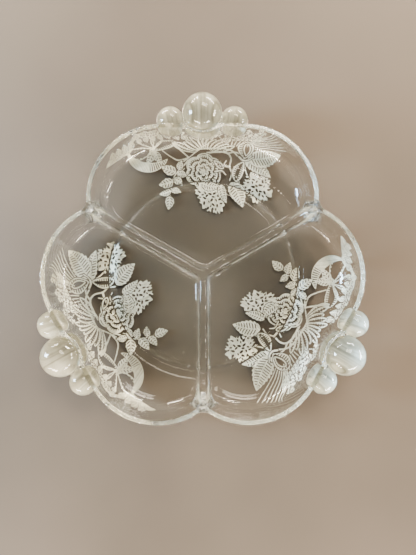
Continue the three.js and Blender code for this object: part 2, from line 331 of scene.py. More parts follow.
class Lace:
    """A field over the lace's plane: negative where there is silver."""

    def __init__(self, low, high, cell):
        self.low, self.cell = np.array(low), cell
        axes = [np.arange(a, b + cell, cell) for a, b in zip(low, high)]
        self.u, self.v = np.meshgrid(*axes, indexing="ij")
        self.field = np.full(self.u.shape, BARE)

    def window(self, shape):
        """The part of the plane that a shape can reach."""
        low = np.maximum(((np.array(shape.low) - self.low) / self.cell).astype(int), 0)
        high = ((np.array(shape.high) - self.low) / self.cell).astype(int) + 2
        return slice(low[0], high[0]), slice(low[1], high[1])

    def add(self, *shapes):
        """Joins each shape to what is there."""
        for shape in shapes:
            part = self.window(shape)
            self.field[part] = np.minimum(self.field[part], shape(self.u[part], self.v[part]))

    def lay(self, *shapes):
        """Adds each shape over the others, with a narrow bare line round it."""
        for shape in shapes:
            part = self.window(shape)
            own = shape(self.u[part], self.v[part])
            self.field[part] = np.minimum(np.maximum(self.field[part], BARE_LINE - own), own)


class Shape:
    """One motif: a field function with the box that it is drawn in."""

    def __init__(self, function, points, margin):
        points = np.array(points, float)
        self.function = function
        self.low, self.high = points.min(0) - margin, points.max(0) + margin

    def __call__(self, u, v):
        return self.function(u, v)


def spline(points, parts):
    """Points on a smooth curve through the given ones, with this many parts between each two."""
    p = np.array(points, float)
    p = np.vstack([2 * p[0] - p[1], p, 2 * p[-1] - p[-2]])
    out = []
    for i in range(1, len(p) - 2):
        for t in np.arange(parts) / parts:
            a, b, c, d = p[i - 1], p[i], p[i + 1], p[i + 2]
            out.append(0.5 * (2 * b + (c - a) * t + (2 * a - 5 * b + 4 * c - d) * t**2
                              + (3 * b - a - 3 * c + d) * t**3))
    return np.array(out + [p[-2]])


def stem(*points, width=LINE, tip=0.6):
    """A curved line that thins towards its last point."""
    curve = spline(points, 6)
    widths = np.linspace(width, width * tip, len(curve)) / 2

    def field(u, v):
        best = np.full(u.shape, 9.0)
        for (a, b), w in zip(zip(curve, curve[1:]), widths):
            run = b - a
            t = np.clip(((u - a[0]) * run[0] + (v - a[1]) * run[1]) / (run @ run), 0, 1)
            best = np.minimum(best, np.hypot(u - a[0] - t * run[0], v - a[1] - t * run[1]) - w)
        return best

    return Shape(field, curve, 3)


def along_axis(base, tip, curl):
    """Changes (u, v) to the share of the way from base to tip, and the distance off that line.

    The curl is how far the line bows to its left at its middle. Its length is given too.
    """
    base, run = np.array(base, float), np.array(tip, float) - np.array(base, float)
    length = np.hypot(*run)
    ahead = run / length

    def change(u, v):
        t = ((u - base[0]) * ahead[0] + (v - base[1]) * ahead[1]) / length
        side = (v - base[1]) * ahead[0] - (u - base[0]) * ahead[1]
        return t, side - curl * 4 * t * (1 - t)

    return change, length


def leaf(base, tip, width, curl=0.0, teeth=7, veins=7):
    """A toothed leaf with a midrib and slanting slits between its veins."""
    midrib, slit = 0.45, 0.34
    change, length = along_axis(base, tip, curl)

    def field(u, v):
        t, side = change(u, v)
        inside = np.clip(t, 0, 1)
        half = width / 2 * np.sin(math.pi * inside**0.72) ** 0.85
        off = np.abs(side)
        tooth = (inside * teeth) % 1
        edge = off - half * (0.88 + 0.2 * tooth)
        outline = np.maximum(edge, np.maximum(-t, t - 1) * length) * 0.85
        phase = inside * veins - 1.1 * off / (width / 2)
        gap = (np.abs((phase % 1) - 0.5) - slit / 2) * length / veins * 0.8
        reach = np.maximum(midrib - off, off - 0.74 * half)
        ends = np.maximum(0.1 - t, t - 0.88) * length
        return np.maximum(outline, -np.maximum(np.maximum(gap, reach), ends))

    return Shape(field, [base, tip], width)


def petal(base, tip, width, curl=0.0, line=LINE, combs=9, depth=0.45):
    """A hollow petal: an outline with a comb of short strokes inside its edge."""
    change, length = along_axis(base, tip, curl)

    def field(u, v):
        t, side = change(u, v)
        inside = np.clip(t, 0, 1)
        half = width / 2 * np.sin(math.pi * inside**1.25) ** 0.6
        off = np.abs(side)
        outline = np.maximum(off - half, np.maximum(-t, t - 1) * length) * 0.85
        hollow = outline + line
        stroke = (np.abs((inside * combs) % 1 - 0.5) - 0.25) * length / combs
        comb = np.maximum(stroke, (1 - depth) * half - off)
        return np.maximum(outline, -np.maximum(hollow, -comb))

    return Shape(field, [base, tip], width)


def cluster(centre, radius, points=15, holes=19, seed=0.0, oval=1.0, turn=0.0, taper=0.0):
    """A head of many small florets: a ragged outline pierced by drop-shaped holes."""
    cu, cv = centre
    long, wide = 0.138, 0.068
    marks = []
    for k in range(holes):
        uneven = 1 + 0.05 * math.sin(5 * k + 9 * seed)
        reach = 0.84 * radius * math.sqrt((k + 0.5) / holes) * uneven
        bearing = SEED_ANGLE * k + 9 * seed + 0.12 * math.sin(3 * k)
        size = radius * (1 + 0.25 * math.sin(7 * k)) * math.sqrt(19 / holes)
        lean = bearing + 0.8 * math.sin(2 * k + seed)
        marks.append((reach * math.cos(bearing), reach * math.sin(bearing), lean, size))

    def field(u, v):
        a, b = u - cu, v - cv
        x = a * math.cos(turn) + b * math.sin(turn)
        y = (b * math.cos(turn) - a * math.sin(turn)) / (oval * (1 - taper * x / radius))
        r, angle = np.hypot(x, y), np.arctan2(y, x)
        spin = angle * points / FULL_TURN + 0.45 * np.sin(3 * angle + 5 * seed) + seed
        jag = 1 - np.abs(spin % 1 - 0.5) * 2
        tall = 0.17 + 0.08 * np.sin(2.7 * np.floor(spin) + 6 * seed)
        wave = 0.05 * np.sin(2 * angle + 7 * seed) + 0.06 * np.sin(5 * angle + 3 * seed)
        out = (r - radius * (0.94 + wave - tall * jag)) * 0.75
        for p, q, lean, size in marks:
            along = (x - p) * math.cos(lean) + (y - q) * math.sin(lean)
            aside = (y - q) * math.cos(lean) - (x - p) * math.sin(lean)
            half = wide * (1 - 2.2 * np.clip(along / size, -0.2, 0.2))
            hole = 0.08 * size * (1 - np.hypot(along / (long * size), aside / (half * size)))
            out = np.maximum(out, hole)
        return out

    return Shape(field, [centre], radius * 1.4)


def rose(centre, radius, bands=3.1, petals=5, seed=0.0):
    """A full flower: scalloped petals wound in a spiral, open between them, with combed edges."""
    cu, cv = centre

    def field(u, v):
        x, y = u - cu, v - cv
        r, angle = np.hypot(x, y), np.arctan2(y, x)
        scallop = np.abs(np.sin(angle * petals / 2 + seed)) ** 0.7
        edge = (r - radius * (0.84 + 0.16 * scallop)) * 0.9
        wind = r / radius * bands - 0.5 * scallop - angle / FULL_TURN + seed
        share, pitch = wind % 1, radius / bands
        open_band = (np.abs(share - 0.25) - 0.17) * pitch
        petal_turn = (angle * petals / FULL_TURN + 0.4 * np.floor(wind)) % 1
        join = (0.07 - np.abs(petal_turn - 0.5)) * r
        strokes = 17 + 9 * np.floor(r / pitch)
        comb = (np.abs((angle * strokes / FULL_TURN) % 1 - 0.5) - 0.2) * r * FULL_TURN / strokes
        comb = np.maximum(comb, (np.abs(share - 0.58) - 0.17) * pitch)
        cut = np.minimum(np.maximum(open_band, join), comb)
        cut = np.maximum(cut, np.maximum(0.1 * radius - r, edge + LINE))
        return np.maximum(edge, -cut)

    return Shape(field, [centre], radius * 1.1)


def crescent(centre, radius, start, end, width, strokes=14):
    """A broad curved petal edge, thickest in its middle, with fine strokes cut in its second part."""
    cu, cv = centre

    def field(u, v):
        x, y = u - cu, v - cv
        r = np.hypot(x, y)
        turn = (np.degrees(np.arctan2(y, x)) - start) % 360 / (end - start)
        share = np.clip(turn, 0, 1)
        half = width / 2 * np.sin(math.pi * share) ** 0.7
        band = np.maximum(np.abs(r - radius) - half, np.where(turn > 1, 2, -2))
        pitch = radius * math.radians(end - start) / strokes
        stroke = (np.abs((share * strokes) % 1 - 0.5) - 0.2) * pitch
        cut = np.maximum(np.maximum(stroke, np.abs(r - radius) - half + 0.6), (0.6 - share) * 20)
        return np.maximum(band, -cut)

    return Shape(field, [centre], radius + width)


def draw_lace():
    """The spray of one lobe, from what fills the wall to the twig that lies over the rest."""
    lace = Lace(LACE_LOW, LACE_HIGH, LACE_CELL)
    draw_rim_growth(lace)
    draw_left_flower(lace)
    draw_stems(lace)
    draw_middle(lace)
    draw_right_side(lace)
    draw_twig(lace)
    return lace


def draw_rim_growth(lace):
    """What fills the wall: small flower heads, fanned petals, grasses and leafy ends."""
    draw_heads(lace)
    draw_fan(lace)
    for k in range(7):
        last = (68 - 1.5 * k, 96 + 3.4 * k)
        lace.add(stem((36, 92 + 1.5 * k), (45, 94 + 2.3 * k), (55, 95 + 2.8 * k), last))
    lace.add(stem((-54, 96), (-62, 94.5), (-69, 91), (-77, 86), width=1.3))
    for k in range(4):
        at = (-56 - 6 * k, 96 - 2.6 * k)
        lace.lay(leaf(at, (at[0] - 2.5, at[1] + 11 - k), 7.2, teeth=4, veins=5))
        lace.lay(leaf(at, (at[0] - 6, at[1] - 7.5), 6.2, teeth=4, veins=5))


def draw_heads(lace):
    """Two rows of small flower heads with their leaves: on a shared stem, and on nine stems."""
    lace.add(stem((-60, 104), (-46, 113), (-28, 113), (-10, 112), width=1.2))
    for k in range(7):
        at = (-16 - 6.2 * k, 116.5 - 1.2 * abs(k - 2))
        lace.lay(leaf((at[0] + 2, at[1] - 3), (at[0] + 5, at[1] - 11), 5.0, teeth=4, veins=5))
        lace.lay(cluster(at, 4.6, points=9, holes=6, seed=0.23 * k))
    for k in range(9):
        at = (10 + 4.6 * k, 112.5 + 3.2 * math.sin(1.7 * k))
        bud = (15 + 3.2 * k, 103)
        lace.add(stem((17 + 2 * k, 96), bud, at))
        lace.lay(leaf(bud, (bud[0] + 3 + k, bud[1] + 6), 4.0, curl=0.3, teeth=3, veins=4))
        lace.lay(cluster(at, 4.6, points=9, holes=6, seed=0.17 * k))


def draw_fan(lace):
    """Narrow petals that fan out above the rose."""
    for k in range(13):
        bearing = math.radians(158 - 11.5 * k)
        ahead = (math.cos(bearing), math.sin(bearing))
        reach = 20 + 2.5 * math.sin(2.1 * k)
        base = (1 + 6 * ahead[0], 89 + 4 * ahead[1])
        tip = (1 + 1.2 * reach * ahead[0], 89 + reach * ahead[1])
        lace.lay(petal(base, tip, 4.8, curl=0.6 * math.sin(k), combs=9, depth=0.8))


def draw_left_flower(lace):
    """The large open flower: two curved edges, four hollow petals, two leaves and its centre."""
    lace.add(
        crescent((-40, 96), 17.5, 196, 322, 7.4, strokes=24),
        crescent((-41, 101), 16.5, 96, 214, 3.6, strokes=11),
        petal((-37, 93), (-59, 92), 12, curl=2.5, line=0.7, combs=8, depth=0.3),
        petal((-37, 94), (-52, 110), 12, curl=-2.2, line=0.7, combs=8, depth=0.3),
        petal((-36, 94), (-31, 113), 11, curl=1.0, line=0.7, combs=8, depth=0.4),
        petal((-36, 92), (-19, 101), 11, curl=2.2, line=0.7, combs=12, depth=0.55),
        leaf((-37, 92), (-42, 81), 6.5, curl=0.8, teeth=5, veins=5),
        leaf((-35, 91), (-30.5, 81.5), 6.0, curl=-0.8, teeth=5, veins=5),
        cluster((-37, 93), 3.6, points=9, holes=5, seed=0.4),
    )


def draw_stems(lace):
    """The stems that join the flower heads and leaves."""
    lace.add(
        stem((3, 90), (12, 91), (18.5, 89.5), (21, 85), (20, 79), (21.5, 74), (20, 69), width=1.6),
        stem((18.5, 89.5), (24, 90.5), (29, 88), (31, 84), width=1.3),
        stem((21.5, 74), (26, 70), (28, 64), width=1.1),
        stem((31, 84), (31.5, 77), (34, 71), (39, 66), width=1.2),
        stem((31, 84), (27, 86), (21, 92), (10, 94), (-4, 93), width=1.4),
        stem((20, 79), (12, 80), (6, 79), width=1.6),
        stem((13, 83), (14, 78), (13, 74), width=1.2),
        stem((-10, 86), (-18, 84), (-24, 87), (-30, 92), width=1.4),
        stem((-22, 100), (-16, 92), (-9, 85), (-2, 80), width=1.5),
        stem((3, 98), (-6, 90), (-13, 84), (-19, 80), width=1.1),
    )


def draw_middle(lace):
    """The full rose, the lowest cluster and what lies between them."""
    lace.lay(
        rose((0.5, 76), 14, bands=4.1, petals=6, seed=0.2),
        cluster((6.5, 56.8), 14.2, points=23, holes=39, seed=0.12, oval=0.86, turn=-1.25, taper=0.12),
        leaf((-1.5, 68.5), (13.5, 65), 8.0, curl=-2.2, teeth=6, veins=8),
        leaf((13.5, 66), (17.5, 51.5), 6.5, curl=-1.0, teeth=5, veins=8),
        stem((8, 81), (14, 79.5), (17.5, 83.5), width=1.3),
        stem((9, 75.5), (14, 76), (17, 73), width=1.2),
        petal((8, 84), (15.5, 77.5), 4.5, combs=5, depth=0.5),
    )


def draw_right_side(lace):
    """A cluster, three leaves, three hollow buds and a short stem."""
    lace.lay(
        cluster((40.5, 63.5), 12.6, points=21, holes=31, seed=0.31, oval=0.92, turn=-0.7, taper=-0.12),
        leaf((31.5, 83), (50.5, 70.5), 9.5, curl=1.6, teeth=7, veins=11),
        leaf((33.5, 84.5), (60.5, 90), 15, curl=-1.5, teeth=9, veins=14),
        leaf((21, 67.5), (29.5, 48.5), 12, curl=1.2, teeth=7, veins=10),
        petal((30.8, 83), (24.5, 67.8), 8.5, curl=-1.5, combs=11, depth=0.7),
        petal((31.5, 85), (33.5, 101), 12.5, curl=0.6, combs=9, depth=0.62),
        petal((32, 87), (33, 98.5), 6.0, curl=-0.6, combs=6, depth=0.4),
        stem((27, 86.5), (30, 83.8), (34, 84), (38, 86.5), width=1.5),
    )


def draw_twig(lace):
    """A twig with eight small leaves that hangs below the large flower."""
    lace.add(
        stem((-11, 84), (-15, 79), (-19.5, 74.5), (-22.5, 69), (-24, 61), (-25, 55), width=1.1),
        stem((-19.5, 74.5), (-16, 75.5), (-13.5, 78), width=0.8),
    )
    leaves = [
        ((-20, 75), (-31, 79.5), 7.5),
        ((-17.5, 76.5), (-15.5, 84), 5.0),
        ((-19, 73.5), (-11.8, 72.5), 5.6),
        ((-21.5, 70.5), (-15.2, 65.5), 5.8),
        ((-22.2, 68.5), (-32.8, 65.5), 7.4),
        ((-23.6, 62), (-16.2, 59.8), 5.0),
        ((-24, 61.5), (-32.5, 58.8), 5.8),
        ((-24.8, 57), (-25.8, 46.8), 6.6),
    ]
    for base, tip, width in leaves:
        lace.lay(leaf(base, tip, width, curl=0.5, teeth=4, veins=5))


# ---- Silver films on the outside of the glass ---------------------------------------------

# A film's inner and outer sheets, measured outwards from the glass.
FILM_IN, FILM_OUT = -0.05, 0.11
# The lace's way up the outside: the flat underside ends at this inset from the rim's edge, then
# this length of lace goes round the fillet, and the rest goes up the wall as far as the last length.
FLAT_INSET = (RIM_Z - UNDER_Z) * DRAFT + OUTER_FILLET
CURVE_LENGTH = 19.9
WALL_LENGTH = 18.5
BALL_CLEAR = 0.9
# The foot ring's ground face carries no silver between these radii.
GROUND_INNER, GROUND_OUTER = 69.9, 70.6
# The twig's lowest leaves are a film of their own, on the drawing's left of this line.
TWIG_ACROSS = -12.5
# The drawing's centre, and where it was laid on each lobe: across, out, and turned by degrees.
SPRAY_CENTRE = np.array([10.0, 62.0])
SPRAY_PLACES = {"back": (10, 64, 0), "left": (15, 54.5, -5.5), "right": (2, 51.5, -4)}
# A ball's coat ends this far above the ball's centre, and this far from the dish and other balls.
COAT_TOP = 2.0
COAT_CELL = 0.45
COAT_FROM_DISH, COAT_FROM_BALLS = 0.7, 0.4
COAT_LEAN = math.radians(50)
COAT_REACH = math.pi * 0.72


def flat_net(field, low, cell):
    """Quads over the part of a plane grid where the field is negative, with a smooth edge."""
    inside = field < 0
    shape = (field.shape[0] - 1, field.shape[1] - 1)
    total, hits = np.zeros(shape + (2,)), np.zeros(shape)
    at = lambda i, j: field[i:i + shape[0], j:j + shape[1]]
    for a, b in (((0, 0), (1, 0)), ((0, 1), (1, 1)), ((0, 0), (0, 1)), ((1, 0), (1, 1))):
        p, q = at(*a), at(*b)
        cross = (p < 0) != (q < 0)
        share = np.where(cross, p / np.where(cross, p - q, 1), 0)
        for k in range(2):
            total[..., k] += np.where(cross, a[k] + share * (b[k] - a[k]), 0)
        hits += cross
    place = np.where(hits[..., None] > 0, total / np.maximum(hits, 1)[..., None], 0.5)
    samples = np.argwhere(inside[1:-1, 1:-1]) + 1
    ring = np.stack([samples + step for step in ((-1, -1), (0, -1), (0, 0), (-1, 0))], 1)
    flat = ring[..., 0] * shape[1] + ring[..., 1]
    used, quads = np.unique(flat, return_inverse=True)
    cells = np.stack([used // shape[1], used % shape[1]], 1)
    points = np.array(low) + cell * (cells + place[cells[:, 0], cells[:, 1]])
    return points, quads.reshape(-1, 4)


def edge_loop(quads):
    """The quads' edges that belong to only one quad, in the quads' direction."""
    edges = np.concatenate([quads[:, [k, (k + 1) % 4]] for k in range(4)])
    ends = np.sort(edges, 1)
    key = ends[:, 0] * (ends.max() + 1) + ends[:, 1]
    _, first, count = np.unique(key, return_index=True, return_counts=True)
    return edges[first[count == 1]]


def film_mesh(seat, quads):
    """A closed thin film on the glass: an inner and an outer sheet joined round their edges."""
    sheets = []
    for lift in (FILM_IN, FILM_OUT):
        lifted = lambda x, y, z, lift=lift: glass_field(x, y, z) - lift
        sheets.append(settle(lifted, seat, 5)[0])
    count = len(seat)
    edge = edge_loop(quads)
    sides = np.stack([edge[:, 1], edge[:, 0], edge[:, 0] + count, edge[:, 1] + count], 1)
    return np.concatenate(sheets), np.concatenate([quads, quads[:, ::-1] + count, sides]), len(quads)


def underside(x, y):
    """Height of the glass's lower surface over each point in plan."""
    z = np.full(x.shape, -0.6)
    for _ in range(40):
        z = z + 0.8 * np.maximum(glass_field(x, y, z), 0)
    return z


def lace_seat(points):
    """Where each point of the lace's plane lies on the dish: the floor, then up the curved wall."""
    x, y = points.T
    edge = outline_field(x, y)
    step = 0.05
    slope_x = (outline_field(x + step, y) - outline_field(x - step, y)) / (2 * step)
    slope_y = (outline_field(x, y + step) - outline_field(x, y - step)) / (2 * step)
    steep = np.hypot(slope_x, slope_y)
    along = np.maximum(edge + FLAT_INSET, 0)
    turn = np.minimum(along / CURVE_LENGTH, 1) * math.pi / 2
    rise = np.maximum(along - CURVE_LENGTH, 0)
    z = UNDER_Z + OUTER_FILLET * (1 - np.cos(turn)) + rise
    inset = (RIM_Z - z) * DRAFT + OUTER_FILLET * (1 - np.sin(turn))
    shift = np.where(along > 0, -inset - edge, 0)
    x, y = x + slope_x / steep * shift, y + slope_y / steep * shift
    z = np.where(along > 0, z, underside(x, y))
    return np.stack([x, y, z], 1), rise


def lay_out(points, lobe):
    """From the drawing of the spray to where it was laid on this lobe."""
    across, out, turn = SPRAY_PLACES[lobe]
    c, s = math.cos(math.radians(turn)), math.sin(math.radians(turn))
    u, v = (points - SPRAY_CENTRE).T
    return np.stack([across + u * c - v * s, out + u * s + v * c], 1)


def spray_films(lace, lobe):
    """The lace as three films: inside the foot ring without and with the twig, and outside it."""
    spots = lay_out(np.stack([lace.u.ravel(), lace.v.ravel()], 1), lobe)
    reach = np.hypot(*spots.T).reshape(lace.u.shape)
    seat, rise = lace_seat(spots)
    _, _, across, out = fold(seat[:, 0], seat[:, 1])
    balls = [ball_field(ball, across, out, seat[:, 2]) for ball in (LARGE_BALL, SMALL_BALL)]
    high = np.maximum(rise - WALL_LENGTH, BALL_CLEAR - np.minimum(*balls)).reshape(lace.u.shape)
    field = np.maximum(lace.field, high)
    twig = lace.u - TWIG_ACROSS
    return {
        "floor_spray": np.maximum.reduce([field, reach - GROUND_INNER, -twig]),
        "floor_twig": np.maximum.reduce([field, reach - GROUND_INNER, twig]),
        "wall_spray": np.maximum(field, GROUND_OUTER - reach),
    }


def ball_chart(ball, points):
    """Wraps a flat chart round a ball from its lowest outward side."""
    centre = np.array([ball["across"], ball["out"], ball["z"]])
    ahead = np.array([0, math.sin(COAT_LEAN), -math.cos(COAT_LEAN)])
    right = np.array([1.0, 0, 0])
    up = np.cross(right, ahead)
    angle = np.hypot(*points.T) / ball["radius"]
    scale = np.where(angle > 1e-6, np.sin(angle) / np.maximum(angle, 1e-6), 1) / ball["radius"]
    return centre + ball["radius"] * (np.cos(angle)[:, None] * ahead
                                      + (points[:, :1] * right + points[:, 1:] * up) * scale[:, None])


def coat_film(ball, others):
    """The silver under one ball: a field on its chart, cut by the dish and by its neighbours."""
    half = COAT_REACH * ball["radius"]
    axis = np.arange(-half, half, COAT_CELL)
    u, v = np.meshgrid(axis, axis, indexing="ij")
    place = ball_chart(ball, np.stack([u.ravel(), v.ravel()], 1))
    limits = [place[:, 2] - ball["z"] - COAT_TOP, COAT_FROM_DISH - body_field(*place.T)]
    limits += [COAT_FROM_BALLS - ball_field(other, *place.T) for other in others]
    field = np.maximum.reduce(limits).reshape(u.shape)
    field = np.maximum(field, np.hypot(u, v) - half + COAT_CELL * 2)
    points, quads = flat_net(field, (-half, -half), COAT_CELL)
    return film_mesh(ball_chart(ball, points), quads[:, ::-1])


# ---- Pieces -------------------------------------------------------------------------------

def piece(name, points, faces, materials, normals=None, first=0):
    """A mesh in millimetres round the dish axis, placed in the frame.

    Where first is given, that many faces take the first material and the others the second.
    """
    mesh = bpy.data.meshes.new(name)
    metres = (points + np.array([0, AXIS_Y, 0])) / 1000
    mesh.vertices.add(len(points))
    mesh.vertices.foreach_set("co", metres.astype(np.float32).ravel())
    mesh.loops.add(faces.size)
    mesh.loops.foreach_set("vertex_index", faces.astype(np.int32).ravel())
    mesh.polygons.add(len(faces))
    mesh.polygons.foreach_set("loop_start", np.arange(0, faces.size, faces.shape[1], dtype=np.int32))
    mesh.update(calc_edges=True)
    mesh.validate()
    mesh.shade_smooth()
    if normals is not None:
        mesh.normals_split_custom_set_from_vertices(normals.astype(np.float32))
    else:
        mesh.set_sharp_from_angle(angle=math.radians(50))
    for material in materials:
        mesh.materials.append(material)
    if first:
        mesh.polygons.foreach_set("material_index", (np.arange(len(faces)) >= first).astype(np.int32))
    thing = bpy.data.objects.new(name, mesh)
    bpy.context.scene.collection.objects.link(thing)
    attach(thing, "root")
    return thing


def turned(points, lobe):
    """Round the axis, from the back lobe to the lobe of this number."""
    angle = lobe * 4 * SIXTH
    c, s = math.cos(angle), math.sin(angle)
    x, y, z = points.T
    return np.stack([x * c - y * s, x * s + y * c, z], 1)


def mirrored(points, quads, inner):
    """The same film on the other side of the lobe."""
    return points * np.array([-1, 1, 1]), quads[:, ::-1], inner


def build_glass(material):
    fine = 1.0
    points, quads = surface_net(glass_field, round_axes(fine), place_round)
    used, quads = np.unique(quads, return_inverse=True)
    points, normals = settle(glass_field, points[used])
    triangles = split(quads.reshape(-1, 4), normals)
    dish = piece("pressed_glass_dish", points, triangles, [material], normals)
    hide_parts("glass_dish")


def build_silver(materials):
    lace = draw_lace()
    second = dict(SMALL_BALL, across=-SMALL_BALL["across"])
    coats = {"large_ball_silver": coat_film(LARGE_BALL, [SMALL_BALL, second])}
    coats["first_small_ball_silver"] = coat_film(SMALL_BALL, [LARGE_BALL])
    coats["second_small_ball_silver"] = mirrored(*coats["first_small_ball_silver"])
    for k, lobe in enumerate(LOBES):
        films = dict(coats)
        for name, field in spray_films(lace, lobe).items():
            points, quads = flat_net(field, LACE_LOW, LACE_CELL)
            films[name] = film_mesh(lace_seat(lay_out(points, lobe))[0], quads)
        for name, (points, quads, inner) in films.items():
            film = piece(f"{name}_{lobe}_film", turned(points, k), quads, materials,
                         first=inner)
            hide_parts(f"{name}_{lobe}")


# ---- Materials ----------------------------------------------------------------------------

class Nodes:
    """Short spellings for building one material's node tree."""

    def __init__(self, name):
        self.material = bpy.data.materials.new(name)
        self.material.use_nodes = True
        self.tree = self.material.node_tree
        self.tree.nodes.clear()
        self.output = self.add("ShaderNodeOutputMaterial")

    def add(self, kind, **settings):
        node = self.tree.nodes.new(kind)
        for name, value in settings.items():
            setattr(node, name, value)
        return node

    def join(self, source, target):
        self.tree.links.new(source, target)

    def feed(self, socket, value):
        """Joins a socket to this one, or sets a plain value on it."""
        if isinstance(value, bpy.types.NodeSocket):
            self.join(value, socket)
        else:
            socket.default_value = value

    def math(self, operation, a, b=0.0):
        node = self.add("ShaderNodeMath", operation=operation)
        self.feed(node.inputs[0], a)
        self.feed(node.inputs[1], b)
        return node.outputs[0]

    def noise(self, vector, scale, detail=3.0, roughness=0.5):
        node = self.add("ShaderNodeTexNoise")
        self.feed(node.inputs["Vector"], vector)
        node.inputs["Scale"].default_value = scale
        node.inputs["Detail"].default_value = detail
        node.inputs["Roughness"].default_value = roughness
        return node.outputs["Fac"]

    def between(self, value, low, high, to_low, to_high):
        """Changes values between low and high to values between to_low and to_high."""
        node = self.add("ShaderNodeMapRange")
        self.feed(node.inputs["Value"], value)
        names = ("From Min", "From Max", "To Min", "To Max")
        for name, number in zip(names, (low, high, to_low, to_high)):
            node.inputs[name].default_value = number
        return node.outputs["Result"]

    def colours(self, value, *stops):
        """A colour ramp; each stop is where it is and its colour."""
        node = self.add("ShaderNodeValToRGB")
        self.feed(node.inputs["Fac"], value)
        ramp = node.color_ramp
        while len(ramp.elements) < len(stops):
            ramp.elements.new(0.5)
        for element, (place, colour) in zip(ramp.elements, stops):
            element.position, element.color = place, (*colour, 1)
        return node.outputs["Color"]

    def bump(self, height, strength, distance):
        node = self.add("ShaderNodeBump")
        self.feed(node.inputs["Height"], height)
        node.inputs["Strength"].default_value = strength
        node.inputs["Distance"].default_value = distance
        return node.outputs["Normal"]

    def place(self):
        """Position in the frame, measured from the dish axis."""
        spot = self.add("ShaderNodeTexCoord").outputs["Object"]
        shift = self.add("ShaderNodeVectorMath", operation="SUBTRACT")
        self.feed(shift.inputs[0], spot)
        shift.inputs[1].default_value = (0, AXIS_Y / 1000, 0)
        return shift.outputs["Vector"]

    def streaks(self, fine, drift):
        """Coordinates for marks that run straight out from the dish axis."""
        apart = self.add("ShaderNodeSeparateXYZ")
        self.join(self.place(), apart.inputs[0])
        x, y, z = apart.outputs
        angle = self.math("ARCTAN2", y, x)
        square = self.math("ADD", self.math("MULTIPLY", x, x), self.math("MULTIPLY", y, y))
        reach = self.math("SQRT", square)
        together = self.add("ShaderNodeCombineXYZ")
        self.join(self.math("MULTIPLY", angle, fine), together.inputs[0])
        self.join(self.math("MULTIPLY", reach, drift), together.inputs[1])
        self.join(self.math("MULTIPLY", z, drift), together.inputs[2])
        return together.outputs[0]

    def shader(self, **values):
        node = self.add("ShaderNodeBsdfPrincipled")
        for name, value in values.items():
            self.feed(node.inputs[name.replace("_", " ")], value)
        return node.outputs[0]

    def finish(self, surface):
        self.join(surface, self.output.inputs["Surface"])
        return self.material


def glass_material():
    """Clear glass with the slight waves of the mould; its shadow is light, and darker at edges."""
    n = Nodes("clear pressed glass")
    place = n.place()
    waves = n.noise(place, 55, 2.0)
    grain = n.noise(place, 900, 2.0)
    tint = n.colours(n.noise(place, 18), (0.3, (0.965, 0.985, 0.975)), (0.7, (0.99, 0.995, 0.99)))
    glass = n.shader(
        Base_Color=tint,
        Roughness=n.between(grain, 0.55, 0.8, 0.0, 0.035),
        IOR=1.5,
        Transmission_Weight=1.0,
        Normal=n.bump(waves, 0.04, 0.0008),
    )
    edge = n.add("ShaderNodeLayerWeight")
    edge.inputs["Blend"].default_value = 0.35
    shade = n.colours(
        edge.outputs["Facing"],
        (0.0, (0.90, 0.91, 0.905)),
        (0.75, (0.66, 0.68, 0.67)),
        (1.0, (0.25, 0.27, 0.26)),
    )
    clear = n.add("ShaderNodeBsdfTransparent")
    n.join(shade, clear.inputs["Color"])
    mix = n.add("ShaderNodeMixShader")
    n.join(n.add("ShaderNodeLightPath").outputs["Is Shadow Ray"], mix.inputs[0])
    n.join(glass, mix.inputs[1])
    n.join(clear.outputs[0], mix.inputs[2])
    return n.finish(mix.outputs[0])


def silver_inside_material():
    """The side that shows through the glass: pale and soft, with fine marks of the brush."""
    n = Nodes("silver against the glass")
    fine = n.noise(n.streaks(170, 9), 1.0, 3.0)
    broad = n.noise(n.place(), 42, 3.0)
    mottle = n.noise(n.place(), 420, 3.0)
    tone = n.math("ADD", n.math("MULTIPLY", fine, 0.5), n.math("MULTIPLY", broad, 0.35))
    tone = n.math("ADD", tone, n.math("MULTIPLY", mottle, 0.15))
    colour = n.colours(
        tone,
        (0.34, (0.40, 0.37, 0.27)),
        (0.5, (0.76, 0.73, 0.60)),
        (0.66, (0.94, 0.92, 0.82)),
    )
    height = n.math("ADD", fine, n.math("MULTIPLY", mottle, 0.4))
    return n.finish(n.shader(
        Base_Color=colour,
        Metallic=0.3,
        Roughness=n.between(fine, 0.3, 0.7, 0.36, 0.54),
        Normal=n.bump(height, 0.3, 0.0002),
    ))


def silver_outside_material():
    """The bare side: bright plated silver, with hairlines, a little tarnish and rubbed patches."""
    n = Nodes("bright silver outside")
    hair = n.noise(n.streaks(60, 260), 1.0, 4.0, 0.7)
    tarnish = n.noise(n.place(), 65, 5.0, 0.6)
    colour = n.colours(
        tarnish,
        (0.34, (0.50, 0.43, 0.33)),
        (0.47, (0.80, 0.77, 0.71)),
        (0.7, (0.93, 0.92, 0.90)),
    )
    rubbed = n.between(tarnish, 0.35, 0.6, 0.34, 0.12)
    scratched = n.between(hair, 0.4, 0.7, 0.0, 0.12)
    return n.finish(n.shader(
        Base_Color=colour,
        Metallic=1.0,
        Roughness=n.math("ADD", rubbed, scratched),
        Normal=n.bump(hair, 0.12, 0.0001),
    ))


def floor_material():
    """A plain warm grey, a little uneven."""
    n = Nodes("plain pale floor")
    place = n.place()
    soft = n.noise(place, 5, 3.0)
    grain = n.noise(place, 700, 2.0)
    colour = n.colours(soft, (0.35, (0.205, 0.165, 0.125)), (0.65, (0.235, 0.19, 0.145)))
    return n.finish(n.shader(
        Base_Color=colour,
        Roughness=n.between(soft, 0.3, 0.7, 0.55, 0.65),
        Normal=n.bump(grain, 0.08, 0.0002),
    ))


# ---- Studio -------------------------------------------------------------------------------

